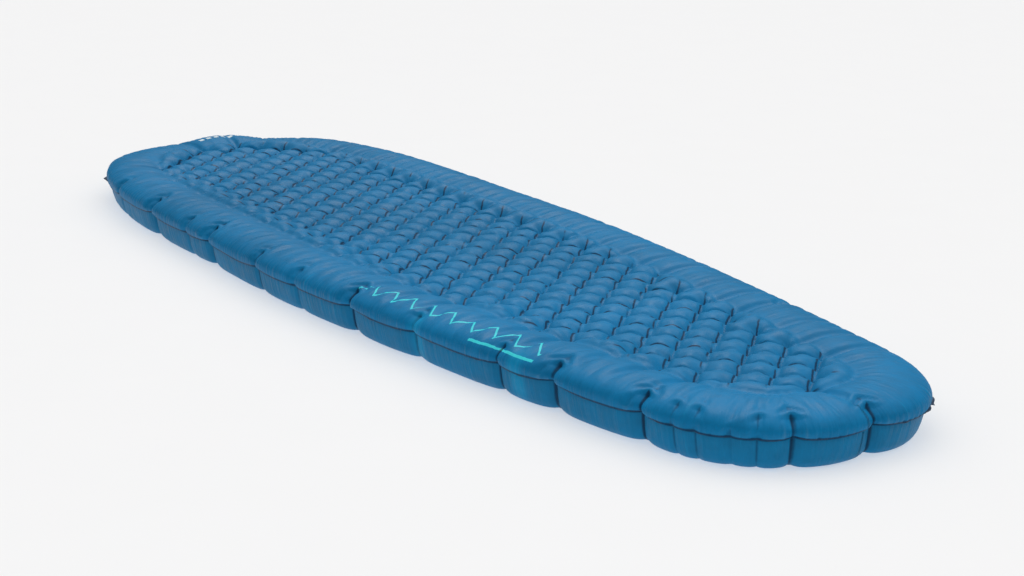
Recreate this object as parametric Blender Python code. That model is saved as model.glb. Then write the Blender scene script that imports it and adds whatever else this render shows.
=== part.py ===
"""Inflatable sleeping pad: mummy shape, quilted top, perimeter tube and a twist valve in the head seam.

Metres, +Z up. The pad lies on z = 0 with its length along X, the head end towards -X and the foot end
towards +X. The origin is on the underside, below the middle of the sheets.
"""

import math

import bmesh
import bpy
import numpy as np
from mathutils import Matrix, Vector
from mathutils.geometry import delaunay_2d_cdt

# Plan of the pad
LENGTH = 1.83
CHEST_HALF_WIDTH = 0.276
FOOT_NARROWING = 0.12
TAPER_START_X = -0.05
TAPER_POWER = 1.5
HEAD_CAP_LENGTH = 0.53
HEAD_CAP_POWER = 2.75
FOOT_CAP_LENGTH = 0.19
FOOT_CAP_POWER = 2.8
OUTLINE_POINTS = 112
OUTLINE_SAMPLES = 1200

# Heights and sections
SEAM_Z = 0.040
WELD_Z = 0.053
PUFF_Z = 0.063
TUBE_CENTRE_INSET = 0.043
TUBE_HALF_WIDTH = 0.047
TUBE_CENTRE_Z = 0.047
TUBE_HALF_HEIGHT = 0.022
TUBE_ANGLES = (-20, 20, 55, 90, 122, 150)
HEAD_LOBE_RISE = 0.003
HEAD_LOBE_Y = 0.03
HEAD_LOBE_HALF_WIDTH = 0.08
HEAD_LOBE_REACH = 2.2 * TUBE_CENTRE_INSET
WALL_INSETS_AND_DROPS = ((0.0, 0.0), (0.002, 0.009), (0.007, 0.025), (0.014, 0.036))
UNDERSIDE_INSET = 0.022
SHEET_THICKNESS = 0.0008
GAP = 0.0003

# Quilting: welds stand in rows along X, each row half a pitch on from the last
WELD_PITCH = 0.059
ROW_PITCH = 0.031
ROWS_EACH_SIDE = 6
WELD_SHIFT = -0.009
WELD_TO_TUBE = 0.007
MERGE_BELOW = 1e-6

# Perimeter weld
WELD_OUTSIDE = 0.003
WELD_INSIDE = 0.006
WELD_HALF_THICKNESS = 0.0003

# Insulation and baffles
INSULATION_TOP_Z = 0.0505
INSULATION_THICKNESS = 0.003
INSULATION_INSET = 0.085
BAFFLE_THICKNESS = 0.0006
BAFFLE_END_CLEARANCE = 0.003
BAFFLE_GRID = 0.002

# Valve: distances along its axis are measured outwards from the head edge of the sheets
BOAT_WIDTH = 0.044
BOAT_HEIGHT = 0.0125
BOAT_FROM = -0.012
BOAT_TO = 0.0055
BOAT_ARC_POINTS = 13
SPOUT_RADIUS = 0.0075
BORE_RADIUS = 0.005
COLLAR_RADIUS = 0.0095
COLLAR_FROM = 0.0044
COLLAR_TO = 0.0062
SPOUT_TO = 0.024
THREAD_RADIUS = 0.008
THREAD_RINGS_AT = (0.0105, 0.0135)
THREAD_RING_WIDTH = 0.0012
SLEEVE_INNER_RADIUS = 0.0083
SLEEVE_OUTER_RADIUS = 0.0107
SLEEVE_FROM = 0.0095
MOUTH_WALL_FROM = 0.0245
MOUTH_TO = 0.027
MOUTH_RADIUS = 0.0044
GRIP_RADIUS = 0.014
GRIP_LOBE = 0.0007
GRIP_LOBES = 10
GRIP_FROM = 0.0066
GRIP_STEP = 0.0091
GRIP_TO = 0.016
GRIP_INNER_RADIUS = 0.011
PIN_RING_RADIUS = 0.0047
PIN_RING_WALL = 0.001
PIN_RING_FROM = 0.0195
PIN_RING_TO = 0.023
PIN_ROD_RADIUS = 0.0015
PIN_HEAD_RADIUS = 0.0039
PIN_HEAD_FROM = 0.0243
PIN_HEAD_TO = 0.0275
PIN_SPOKES = 3
PIN_SPOKE_WIDTH = 0.0012
SEAL_RADIUS = 0.00045
TRAVEL_SEAL_AT = 0.0195
TRAVEL_SEAL_RING = 0.0074
MOUTH_SEAL_AT = 0.0258
MOUTH_SEAL_RING = 0.00355
FLAP_RADIUS = 0.0058
FLAP_THICKNESS = 0.001
FLAP_AXIS_RISE = 0.0072
KNUCKLE_RADIUS = 0.0019
KNUCKLE_BORE = 0.0011
FLAP_PIN_RADIUS = 0.0008
FLAP_PIN_OVERHANG = 0.0006
LUG_FROM_Y = 0.0048
LUG_TO_Y = 0.0064
LUG_RISE = 0.0042
LUG_DEPTH = 0.0045
CUT_OVERRUN = 0.001

HEAD_X = -LENGTH / 2
FOOT_X = LENGTH / 2
FLAP_PLANE = BOAT_FROM - GAP
FLAP_AXIS_X = HEAD_X - FLAP_PLANE + KNUCKLE_RADIUS
FLAP_AXIS_Z = SEAM_Z + FLAP_AXIS_RISE


def clear_scene():
    for obj in list(bpy.data.objects):
        bpy.data.objects.remove(obj, do_unlink=True)


def material(name, colour, roughness, metallic=0.0):
    mat = bpy.data.materials.new(name)
    mat.use_nodes = True
    shader = mat.node_tree.nodes["Principled BSDF"]
    shader.inputs["Base Color"].default_value = (*colour, 1.0)
    shader.inputs["Roughness"].default_value = roughness
    shader.inputs["Metallic"].default_value = metallic
    return mat


def object_from(name, bm, mat, origin=(0.0, 0.0, 0.0)):
    """An object of the mesh in bm, given in world coordinates, with its origin at a chosen point."""
    bmesh.ops.recalc_face_normals(bm, faces=bm.faces)
    bmesh.ops.translate(bm, verts=bm.verts, vec=-Vector(origin))
    mesh = bpy.data.meshes.new(name)
    bm.to_mesh(mesh)
    bm.free()
    mesh.materials.append(mat)
    obj = bpy.data.objects.new(name, mesh)
    obj.location = origin
    bpy.context.scene.collection.objects.link(obj)
    return obj


def boolean(target, other, operation):
    modifier = target.modifiers.new(other.name, "BOOLEAN")
    modifier.operation = operation
    modifier.solver = "EXACT"
    modifier.object = other
    other.hide_render = True
    other.display_type = "WIRE"


def cap_factor(distance, cap_length, power):
    """1 on the straight part, falling to 0 at the tip on a superellipse."""
    if distance >= cap_length:
        return 1.0
    reach = 1.0 - max(distance, 0.0) / cap_length
    return (1.0 - reach**power) ** (1.0 / power)


def half_width(x):
    along = max(0.0, (x - TAPER_START_X) / (FOOT_X - TAPER_START_X))
    straight = CHEST_HALF_WIDTH - FOOT_NARROWING * along**TAPER_POWER
    head = cap_factor(x - HEAD_X, HEAD_CAP_LENGTH, HEAD_CAP_POWER)
    foot = cap_factor(FOOT_X - x, FOOT_CAP_LENGTH, FOOT_CAP_POWER)
    return straight * head * foot


def evenly_spaced(points, count):
    closed = np.vstack([points, points[:1]])
    steps = np.hypot(*np.diff(closed, axis=0).T)
    reached = np.concatenate([[0.0], np.cumsum(steps)])
    wanted = np.arange(count) * reached[-1] / count
    return np.column_stack([np.interp(wanted, reached, closed[:, axis]) for axis in (0, 1)])


def edge_outline():
    """The sheets' edge in plan, anticlockwise from the foot tip, evenly spaced, with its outward normals."""
    turn = np.linspace(0.0, math.pi, OUTLINE_SAMPLES)
    upper = [(x, half_width(x)) for x in FOOT_X * np.cos(turn)]
    lower = [(x, -y) for x, y in reversed(upper[1:-1])]
    points = evenly_spaced(np.array(upper + lower), OUTLINE_POINTS)
    along = np.roll(points, -1, axis=0) - np.roll(points, 1, axis=0)
    normals = np.column_stack([along[:, 1], -along[:, 0]])
    return points, normals / np.linalg.norm(normals, axis=1, keepdims=True)


EDGE, OUTWARD = edge_outline()


def ring_at(inset):
    return EDGE - OUTWARD * inset


def head_lobe(x, y):
    """How far the raised lobe at the middle of the head end lifts the top there, from 0 to 1."""
    across = max(0.0, 1.0 - ((y - HEAD_LOBE_Y) / HEAD_LOBE_HALF_WIDTH) ** 2)
    along = max(0.0, 1.0 - (x - HEAD_X) / HEAD_LOBE_REACH)
    return across**2 * min(1.0, 2.0 * along)


def add_ring(bm, points, z):
    heights = z if callable(z) else lambda x, y: z
    return [bm.verts.new((x, y, heights(x, y))) for x, y in points]


def bridge(bm, ring_a, ring_b):
    count = len(ring_a)
    for i in range(count):
        j = (i + 1) % count
        bm.faces.new((ring_a[i], ring_a[j], ring_b[j], ring_b[i]))


def inside_distance(point, ring):
    """Distance from a point to a closed ring, negative outside it."""
    ends = np.roll(ring, -1, axis=0)
    run = ends - ring
    part = np.clip(((point - ring) * run).sum(1) / (run**2).sum(1), 0.0, 1.0)
    distance = np.hypot(*(ring + run * part[:, None] - point).T).min()
    crosses = (ring[:, 1] > point[1]) != (ends[:, 1] > point[1])
    at = ring[crosses, 0] + (point[1] - ring[crosses, 1]) / run[crosses, 1] * run[crosses, 0]
    return distance if (at > point[0]).sum() % 2 else -distance


def weld_rows():
    """Each row's y, from the one nearest -Y."""
    return [k * ROW_PITCH for k in range(-ROWS_EACH_SIDE, ROWS_EACH_SIDE + 1)]


def quilting_points(ring):
    """Plan points of the welds (low) and of the puffs' crowns between them (high), clear of the tube."""
    reach = int(LENGTH / WELD_PITCH) + 1
    for row, y in enumerate(weld_rows()):
        for half_step in range(-2 * reach, 2 * reach):
            x = WELD_SHIFT + half_step * WELD_PITCH / 2
            if inside_distance(np.array((x, y)), ring) > WELD_TO_TUBE:
                is_weld = (half_step + row) % 2 == 0
                yield (row, half_step), Vector((x, y, WELD_Z if is_weld else PUFF_Z)), is_weld


def fill_quilting(bm, ring_verts, ring):
    """Fills the quilted zone, with a valley from each weld to its nearest ones in the next rows."""
    places, crowns, low = zip(*quilting_points(ring))
    number = {place: len(ring) + i for i, place in enumerate(places)}
    valleys = [(number[row, step], number[row + 1, step + side])
               for (row, step), is_weld in zip(places, low) if is_weld
               for side in (-1, 1) if (row + 1, step + side) in number]
    plan = [Vector(point) for point in ring] + [point.to_2d() for point in crowns]
    rim = [list(range(len(ring)))]
    points, _, faces, _, _, _ = delaunay_2d_cdt(plan, valleys, rim, 1, MERGE_BELOW)
    verts = ring_verts + [bm.verts.new(point) for point in crowns]
    if len(points) != len(verts):
        raise ValueError("the quilting's points are too close together")
    for face in faces:
        bm.faces.new([verts[i] for i in face])


def thickened(bm, thickness, rim):
    """Closes an open surface into a shell: a second skin on the inner side, joined round the rim."""
    bmesh.ops.recalc_face_normals(bm, faces=bm.faces)
    bm.normal_update()
    count = len(rim)
    outward = {v: v.normal.copy() for v in bm.verts}
    for vert, (nx, ny) in zip(rim, OUTWARD):
        outward[vert] = Vector((nx, ny, 0.0))
    twin = {v: bm.verts.new(v.co - n * thickness) for v, n in outward.items()}
    for face in list(bm.faces):
        bm.faces.new([twin[v] for v in reversed(face.verts)])
    for i in range(count):
        j = (i + 1) % count
        bm.faces.new((rim[i], rim[j], twin[rim[j]], twin[rim[i]]))


def top_sheet(mat):
    bm = bmesh.new()
    rings = []
    for degrees in TUBE_ANGLES:
        angle = math.radians(degrees)
        inset = TUBE_CENTRE_INSET - TUBE_HALF_WIDTH * math.cos(angle)
        height = TUBE_CENTRE_Z + TUBE_HALF_HEIGHT * math.sin(angle)
        if degrees == TUBE_ANGLES[0]:
            rings.append(add_ring(bm, ring_at(0.0), SEAM_Z + WELD_HALF_THICKNESS + GAP))
            continue
        rise = HEAD_LOBE_RISE * max(0.0, math.sin(angle))
        rings.append(add_ring(bm, ring_at(inset), lambda x, y: height + rise * head_lobe(x, y)))
    for lower, upper in zip(rings, rings[1:]):
        bridge(bm, lower, upper)
    last = TUBE_CENTRE_INSET - TUBE_HALF_WIDTH * math.cos(math.radians(TUBE_ANGLES[-1]))
    fill_quilting(bm, rings[-1], ring_at(last))
    thickened(bm, SHEET_THICKNESS, rings[0])
    return object_from("top_sheet", bm, mat)


def bottom_sheet(mat):
    bm = bmesh.new()
    start = SEAM_Z - WELD_HALF_THICKNESS - GAP
    rings = [add_ring(bm, ring_at(inset), start - drop) for inset, drop in WALL_INSETS_AND_DROPS]
    rings.append(add_ring(bm, ring_at(UNDERSIDE_INSET), 0.0))
    for lower, upper in zip(rings, rings[1:]):
        bridge(bm, lower, upper)
    bm.faces.new(rings[-1])
    thickened(bm, SHEET_THICKNESS, rings[0])
    return object_from("bottom_sheet", bm, mat)


def slab(bm, outer, inner, low, high):
    """A flat ring between two outlines, or a flat plate if inner is None."""
    outer_low, outer_high = (add_ring(bm, outer, z) for z in (low, high))
    bridge(bm, outer_low, outer_high)
    if inner is None:
        bm.faces.new(outer_low[::-1])
        bm.faces.new(outer_high)
        return
    inner_low, inner_high = (add_ring(bm, inner, z) for z in (low, high))
    bridge(bm, inner_high, inner_low)
    bridge(bm, outer_high, inner_high)
    bridge(bm, inner_low, outer_low)


def perimeter_weld(mat):
    bm = bmesh.new()
    low = SEAM_Z - WELD_HALF_THICKNESS
    slab(bm, ring_at(-WELD_OUTSIDE), ring_at(WELD_INSIDE), low, low + 2 * WELD_HALF_THICKNESS)
    return object_from("perimeter_weld", bm, mat)


def insulation(mat):
    bm = bmesh.new()
    slab(bm, ring_at(INSULATION_INSET), None, INSULATION_TOP_Z - INSULATION_THICKNESS, INSULATION_TOP_Z)
    return object_from("insulation_layer", bm, mat)


def baffles(mat):
    """One upright strip under each row of welds, from the bottom sheet to the insulation."""
    ring = ring_at(INSULATION_INSET)
    low = SHEET_THICKNESS + GAP
    high = INSULATION_TOP_Z - INSULATION_THICKNESS - GAP
    grid = np.arange(HEAD_X, FOOT_X, BAFFLE_GRID)
    for number, y in enumerate(weld_rows(), start=1):
        inside = [x for x in grid if inside_distance(np.array((x, y)), ring) > BAFFLE_END_CLEARANCE]
        middle = Vector(((inside[0] + inside[-1]) / 2, y, (low + high) / 2))
        size = Vector((inside[-1] - inside[0], BAFFLE_THICKNESS, high - low))
        bm = bmesh.new()
        box(bm, middle - size / 2, middle + size / 2)
        object_from(f"baffle_{number:02d}", bm, mat, middle)


def turned(bm, profile, segments=32, lobes=0, lobe_height=0.0):
    """A ring turned about the valve's axis from a closed profile of (along, radius); lobes wave its rim."""
    rings = []
    widest = max(radius for _, radius in profile)
    for i in range(segments):
        angle = 2 * math.pi * i / segments
        ring = []
        for along, radius in profile:
            if lobes and radius == widest:
                radius += lobe_height * math.cos(lobes * angle)
            place = (HEAD_X - along, radius * math.cos(angle), SEAM_Z + radius * math.sin(angle))
            ring.append(bm.verts.new(place))
        rings.append(ring)
    for i in range(segments):
        bridge(bm, rings[i], rings[(i + 1) % segments])


def rod(bm, start, end, radius, segments=24):
    """A solid cylinder on the valve's axis."""
    middle = Vector((HEAD_X - (start + end) / 2, 0.0, SEAM_Z))
    bmesh.ops.create_cone(
        bm, cap_ends=True, segments=segments, radius1=radius, radius2=radius, depth=end - start,
        matrix=Matrix.Translation(middle) @ Matrix.Rotation(math.pi / 2, 4, "Y"))


def cylinder_y(bm, x, z, radius, half_length, segments=20):
    bmesh.ops.create_cone(
        bm, cap_ends=True, segments=segments, radius1=radius, radius2=radius, depth=2 * half_length,
        matrix=Matrix.Translation((x, 0.0, z)) @ Matrix.Rotation(math.pi / 2, 4, "X"))


def boat(bm, grow=0.0, depth_grow=0.0):
    """The lens-shaped block that the sheets are welded round, pointed at both ends."""
    half = BOAT_WIDTH / 2 + 2 * grow
    height = BOAT_HEIGHT / 2 + grow
    across = np.linspace(-half, half, BOAT_ARC_POINTS)
    upper = [(y, height * (1 - (y / half) ** 2)) for y in across]
    lens = upper + [(y, -z) for y, z in reversed(upper[1:-1])]
    near, far = ([bm.verts.new((HEAD_X - along, y, SEAM_Z + z)) for y, z in lens]
                 for along in (BOAT_FROM - depth_grow, BOAT_TO + depth_grow))
    bridge(bm, near, far)
    bm.faces.new(near)
    bm.faces.new(far[::-1])


def box(bm, low, high):
    middle = (Vector(low) + Vector(high)) / 2
    size = Vector(high) - Vector(low)
    bmesh.ops.create_cube(bm, size=1.0, matrix=Matrix.Translation(middle) @ Matrix.Diagonal((*size, 1.0)))


def cut_for_boat(sheets, mat):
    bm = bmesh.new()
    boat(bm, grow=GAP, depth_grow=GAP + WELD_OUTSIDE)
    cutter = object_from("boat_space", bm, mat)
    for sheet in sheets:
        boolean(sheet, cutter, "DIFFERENCE")


def spout(mat):
    """Welded boat, collar, threaded tube with its seal groove, and the lugs of the non-return flap."""
    bm = bmesh.new()
    boat(bm)
    body = object_from("valve_spout", bm, mat)
    tube = bmesh.new()
    groove = (TRAVEL_SEAL_AT - SEAL_RADIUS - GAP, TRAVEL_SEAL_AT + SEAL_RADIUS + GAP)
    floor = TRAVEL_SEAL_RING - SEAL_RADIUS - GAP
    outer = [(COLLAR_FROM, COLLAR_RADIUS), (COLLAR_TO, COLLAR_RADIUS), (COLLAR_TO, SPOUT_RADIUS)]
    for start in THREAD_RINGS_AT:
        stop = start + THREAD_RING_WIDTH
        outer += [(start, SPOUT_RADIUS), (start, THREAD_RADIUS), (stop, THREAD_RADIUS), (stop, SPOUT_RADIUS)]
    outer += [(groove[0], SPOUT_RADIUS), (groove[0], floor), (groove[1], floor), (groove[1], SPOUT_RADIUS)]
    outer += [(SPOUT_TO, SPOUT_RADIUS)]
    turned(tube, [(COLLAR_FROM, BORE_RADIUS / 2), *outer, (SPOUT_TO, BORE_RADIUS / 2)])
    boolean(body, object_from("spout_tube", tube, mat), "UNION")
    ears = bmesh.new()
    for side in (-1, 1):
        ends = sorted((side * LUG_FROM_Y, side * LUG_TO_Y))
        low = (HEAD_X - BOAT_FROM - BOAT_HEIGHT / 2, ends[0], SEAM_Z + LUG_RISE)
        high = (HEAD_X - BOAT_FROM + LUG_DEPTH, ends[1], FLAP_AXIS_Z + KNUCKLE_RADIUS)
        box(ears, low, high)
    boolean(body, object_from("spout_ears", ears, mat), "UNION")
    bore = bmesh.new()
    rod(bore, BOAT_FROM - CUT_OVERRUN, SPOUT_TO + CUT_OVERRUN, BORE_RADIUS, 32)
    boolean(body, object_from("spout_bore", bore, mat), "DIFFERENCE")
    hole = bmesh.new()
    cylinder_y(hole, FLAP_AXIS_X, FLAP_AXIS_Z, KNUCKLE_BORE, LUG_TO_Y + CUT_OVERRUN)
    boolean(body, object_from("spout_ear_holes", hole, mat), "DIFFERENCE")
    return body


def closure_pin(mat):
    """Ring in the bore's outer end, spokes, and the rod whose head plugs the mouthpiece."""
    bm = bmesh.new()
    inner = PIN_RING_RADIUS - PIN_RING_WALL
    turned(bm, [(PIN_RING_FROM, inner), (PIN_RING_FROM, PIN_RING_RADIUS), (PIN_RING_TO, PIN_RING_RADIUS),
                (PIN_RING_TO, inner)])
    body = object_from("closure_pin", bm, mat)
    centre = bmesh.new()
    groove = (MOUTH_SEAL_AT - SEAL_RADIUS - GAP, MOUTH_SEAL_AT + SEAL_RADIUS + GAP)
    floor = MOUTH_SEAL_RING - SEAL_RADIUS - GAP
    core = PIN_ROD_RADIUS / 2
    turned(centre, [(PIN_RING_FROM, core), (PIN_RING_FROM, PIN_ROD_RADIUS), (PIN_HEAD_FROM, PIN_ROD_RADIUS),
                    (PIN_HEAD_FROM, PIN_HEAD_RADIUS), (groove[0], PIN_HEAD_RADIUS), (groove[0], floor),
                    (groove[1], floor), (groove[1], PIN_HEAD_RADIUS), (PIN_HEAD_TO, PIN_HEAD_RADIUS),
                    (PIN_HEAD_TO, core)])
    boolean(body, object_from("pin_centre", centre, mat), "UNION")
    fill = bmesh.new()
    rod(fill, PIN_RING_FROM + GAP, PIN_HEAD_TO - GAP, core * 1.5)
    boolean(body, object_from("pin_core", fill, mat), "UNION")
    for number in range(PIN_SPOKES):
        bm = bmesh.new()
        low = (HEAD_X - PIN_RING_TO + GAP, -PIN_SPOKE_WIDTH / 2, SEAM_Z + core)
        high = (HEAD_X - PIN_RING_FROM - GAP, PIN_SPOKE_WIDTH / 2, SEAM_Z + inner + PIN_RING_WALL / 2)
        box(bm, low, high)
        turn = Matrix.Rotation(2 * math.pi * number / PIN_SPOKES, 4, "X")
        axis = Matrix.Translation((0.0, 0.0, SEAM_Z))
        bmesh.ops.transform(bm, matrix=axis @ turn @ axis.inverted(), verts=bm.verts)
        boolean(body, object_from(f"pin_spoke_{number}", bm, mat), "UNION")
    return body


def seal(name, along, ring_radius, mat):
    """An O-ring on the valve's axis."""
    bm = bmesh.new()
    section = [2 * math.pi * i / 8 for i in range(8)]
    turned(bm, [(along + SEAL_RADIUS * math.cos(angle), ring_radius + SEAL_RADIUS * math.sin(angle))
                for angle in section])
    return object_from(name, bm, mat)


def grip(mat, axis_point):
    """The lobed ring that the fingers turn."""
    bm = bmesh.new()
    profile = [(GRIP_FROM, SLEEVE_INNER_RADIUS), (GRIP_FROM, GRIP_RADIUS), (GRIP_TO, GRIP_RADIUS),
               (GRIP_TO, GRIP_INNER_RADIUS), (GRIP_STEP, GRIP_INNER_RADIUS),
               (GRIP_STEP, SLEEVE_INNER_RADIUS)]
    turned(bm, profile, segments=6 * GRIP_LOBES, lobes=GRIP_LOBES, lobe_height=GRIP_LOBE)
    return object_from("valve_grip", bm, mat, axis_point)


def mouthpiece(mat, axis_point):
    """The sleeve that travels out on the thread, with the mouth in its end wall."""
    bm = bmesh.new()
    turned(bm, [(SLEEVE_FROM, SLEEVE_INNER_RADIUS), (SLEEVE_FROM, SLEEVE_OUTER_RADIUS),
                (MOUTH_TO, SLEEVE_OUTER_RADIUS), (MOUTH_TO, MOUTH_RADIUS), (MOUTH_WALL_FROM, MOUTH_RADIUS),
                (MOUTH_WALL_FROM, SLEEVE_INNER_RADIUS)], segments=36)
    return object_from("valve_mouthpiece", bm, mat, axis_point)


def non_return_flap(mat, axis_point):
    """The disc that closes the spout from inside, with the knuckle it swings on."""
    bm = bmesh.new()
    rod(bm, FLAP_PLANE - FLAP_THICKNESS, FLAP_PLANE, FLAP_RADIUS, 32)
    body = object_from("non_return_flap", bm, mat, axis_point)
    knuckle = bmesh.new()
    cylinder_y(knuckle, FLAP_AXIS_X, FLAP_AXIS_Z, KNUCKLE_RADIUS, LUG_FROM_Y - GAP)
    boolean(body, object_from("flap_knuckle", knuckle, mat), "UNION")
    hole = bmesh.new()
    cylinder_y(hole, FLAP_AXIS_X, FLAP_AXIS_Z, KNUCKLE_BORE, LUG_TO_Y)
    boolean(body, object_from("flap_bore", hole, mat), "DIFFERENCE")
    return body


def flap_pin(mat):
    bm = bmesh.new()
    cylinder_y(bm, FLAP_AXIS_X, FLAP_AXIS_Z, FLAP_PIN_RADIUS, LUG_TO_Y + FLAP_PIN_OVERHANG)
    return object_from("flap_pin", bm, mat, (FLAP_AXIS_X, 0.0, FLAP_AXIS_Z))


def build():
    clear_scene()
    fabric = material("coated_fabric", (0.020, 0.155, 0.370), 0.38)
    fabric_below = material("coated_fabric_below", (0.022, 0.170, 0.390), 0.42)
    weld = material("weld_band", (0.006, 0.045, 0.110), 0.5)
    fibre = material("insulation_fibre", (0.75, 0.77, 0.78), 0.9)
    film = material("baffle_film", (0.65, 0.68, 0.70), 0.3)
    plastic = material("valve_plastic", (0.020, 0.022, 0.026), 0.42)
    rubber = material("seal_rubber", (0.035, 0.035, 0.037), 0.8)
    steel = material("pin_steel", (0.60, 0.60, 0.60), 0.3, 1.0)

    sheets = [top_sheet(fabric), bottom_sheet(fabric_below), perimeter_weld(weld)]
    cut_for_boat(sheets, plastic)
    insulation(fibre)
    baffles(film)
    axis_point = (HEAD_X, 0.0, SEAM_Z)
    spout(plastic)
    closure_pin(plastic)
    seal("travel_seal", TRAVEL_SEAL_AT, TRAVEL_SEAL_RING, rubber)
    seal("mouth_seal", MOUTH_SEAL_AT, MOUTH_SEAL_RING, rubber)
    grip(plastic, axis_point)
    mouthpiece(plastic, axis_point)
    non_return_flap(rubber, (FLAP_AXIS_X, 0.0, FLAP_AXIS_Z))
    flap_pin(steel)


build()
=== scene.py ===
import math

import bpy
import numpy as np
from mathutils import Matrix, Vector
from mathutils.geometry import delaunay_2d_cdt
from mathutils.kdtree import KDTree


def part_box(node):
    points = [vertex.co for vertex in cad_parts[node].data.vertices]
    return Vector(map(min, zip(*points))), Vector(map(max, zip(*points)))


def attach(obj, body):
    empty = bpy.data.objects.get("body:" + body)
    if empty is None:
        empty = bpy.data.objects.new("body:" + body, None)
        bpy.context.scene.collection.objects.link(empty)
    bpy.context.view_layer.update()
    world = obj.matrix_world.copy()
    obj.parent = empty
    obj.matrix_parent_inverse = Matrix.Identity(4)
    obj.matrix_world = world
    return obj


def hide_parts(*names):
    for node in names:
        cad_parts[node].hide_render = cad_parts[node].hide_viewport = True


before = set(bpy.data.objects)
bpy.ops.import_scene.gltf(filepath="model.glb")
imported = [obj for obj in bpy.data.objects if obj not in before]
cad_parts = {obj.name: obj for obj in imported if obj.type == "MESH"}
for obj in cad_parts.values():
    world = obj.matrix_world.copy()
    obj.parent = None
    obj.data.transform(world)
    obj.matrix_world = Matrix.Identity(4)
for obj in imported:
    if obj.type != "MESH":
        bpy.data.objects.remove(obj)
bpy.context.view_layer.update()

# Plan of the pad, as the CAD has it
FLANGE_WIDTH = 0.003
HEAD_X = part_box("perimeter_weld")[0][0] + FLANGE_WIDTH
FOOT_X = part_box("perimeter_weld")[1][0] - FLANGE_WIDTH
CHEST_HALF_WIDTH = 0.276
FOOT_NARROWING = 0.12
TAPER_START_X = -0.05
TAPER_POWER = 1.5
HEAD_CAP_LENGTH = 0.53
HEAD_CAP_POWER = 2.75
FOOT_CAP_LENGTH = 0.19
FOOT_CAP_POWER = 2.8
OUTLINE_SAMPLES = 6000

# Heights
SEAM_Z = 0.040
WELD_Z = 0.0516
PUFF_Z = 0.060

# Quilting
WELD_PITCH = 0.059
ROW_PITCH = 0.031
ROWS_EACH_SIDE = 6
WELD_SHIFT = -0.009
WELD_TO_TUBE = 0.007
WELD_RADIUS = 0.0026

# Mesh
EDGE_STEPS = 1180
RING_STEP = 0.0035
FIELD_STEP = 0.0032

# Perimeter tube: an ellipse in section
TUBE_CENTRE_INSET = 0.043
TUBE_HALF_WIDTH = 0.0485
TUBE_CENTRE_Z = 0.047
TUBE_HALF_HEIGHT = 0.019
TUBE_FROM = math.radians(-20)
TUBE_TO = math.radians(150)
PROFILE_SAMPLES = 2000

# The blow-up: excess of flat fabric over the blown-up plan, and the cloth solver
FIELD_EXCESS = 0.047
BLOW_STEPS = 120
BLOW_PASSES = 4
BLOW_PUSH = 0.00002
BLOW_DRAG = 0.92
BLOW_RELAX = 1.4
SHEAR_STIFFNESS = 0.4
BEND_STIFFNESS = 0.10
PRESS_STIFFNESS = 0.5
TUBE_HOLD = 0.008
BLOW_LIMIT = 0.014
START_NOISE = 0.0002
PUFF_REACH = 0.012

# What the field's points have in place of a length up from the seam
FIELD_MARK = 1.0

# Seam and tube
SEAM_WAVE = 0.0009
SEAM_SAG = 0.0022
SWAG_LIFT = 0.0052
SWAG_REACH = 0.034
HEAD_DROP = 0.4
HEAD_DROP_NONE_AT = 0.16
HEAD_DROP_FULL_AT = 0.03
HEAD_LOBE_RISE = 0.011
HEAD_LOBE_Y = 0.03
HEAD_LOBE_HALF_WIDTH = 0.08
CREASE_HELD_TO = math.radians(50)
CREASE_HELD_DEPTH = 0.0035
CREASE_STEEPNESS = 1.6
CREASE_LOWERS = 0.35
VALLEY_DEPTH = 0.007
VALLEY_WIDTH = 0.011
VALLEY_FULL_AT = 0.098
VALLEY_NONE_AT = 0.125

# Valve boat, which the sheets part round at the head seam
BOAT_HALF_WIDTH = 0.0232
BOAT_LIFT = 0.0067
LIFT_REACH = 0.02

# Lower fabric: (inset, height) down the wall and under
WALL = ((0.0015, 0.040), (0.002, 0.033), (0.0045, 0.021), (0.008, 0.010), (0.013, 0.0025), (0.022, 0.0),
        (0.032, 0.0))
UNDER_STEP = 0.0062
UNDER_PIT = 0.0007
UNDER_PIT_REACH = 0.015
FLANGE_HALF_THICKNESS = 0.0003
WALL_RIPPLE = 0.0005
WALL_SWAY = 0.0015
WALL_CREASE_LIFT = 0.35
WALL_SWAY_LIFT = 0.0012

# Welded edge: how far it stands out and flutters, and its two fins (share of the way round, half width)
EDGE_OUT = 0.0018
EDGE_OUT_WAVE = 0.0006
EDGE_FLUTTER = 0.0012
FINS = ((0.57, 0.008), (0.036, 0.009))
FIN_OUT = 0.0062
FIN_FLUTTER = 0.002
EDGE_IN_CREASE = 0.95

# Places on the near side where light comes through the fabric, as painted light in its colour: share of the
# way round, and half width
LIT_THROUGH_PATCHES = (0.8370, 0.8845)
LIT_THROUGH_HALF_WIDTH = 0.011

# Print: lengths round the edge and up from the seam
PRINT_FROM = 3.36
PRINT_TO = 3.74
PRINT_PEAK = 0.021
PRINT_LOW = 0.034
PRINT_STROKE = 0.0020
PRINT_STEEPNESS = 1.2
PRINT_STRIPE_FROM = 3.62
PRINT_STRIPE_UP = 0.022
PRINT_COLOUR = (0.05, 0.72, 0.80)
HEAD_MARK_COLOUR = (0.75, 0.85, 0.88)
HEAD_MARK_INSET = 0.048
HEAD_MARK_HALF_DEPTH = 0.006
HEAD_MARK_HALF_WIDTH = 0.05
HEAD_MARK_PITCH = 0.007
HEAD_MARK_DASH = 0.0042
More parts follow.
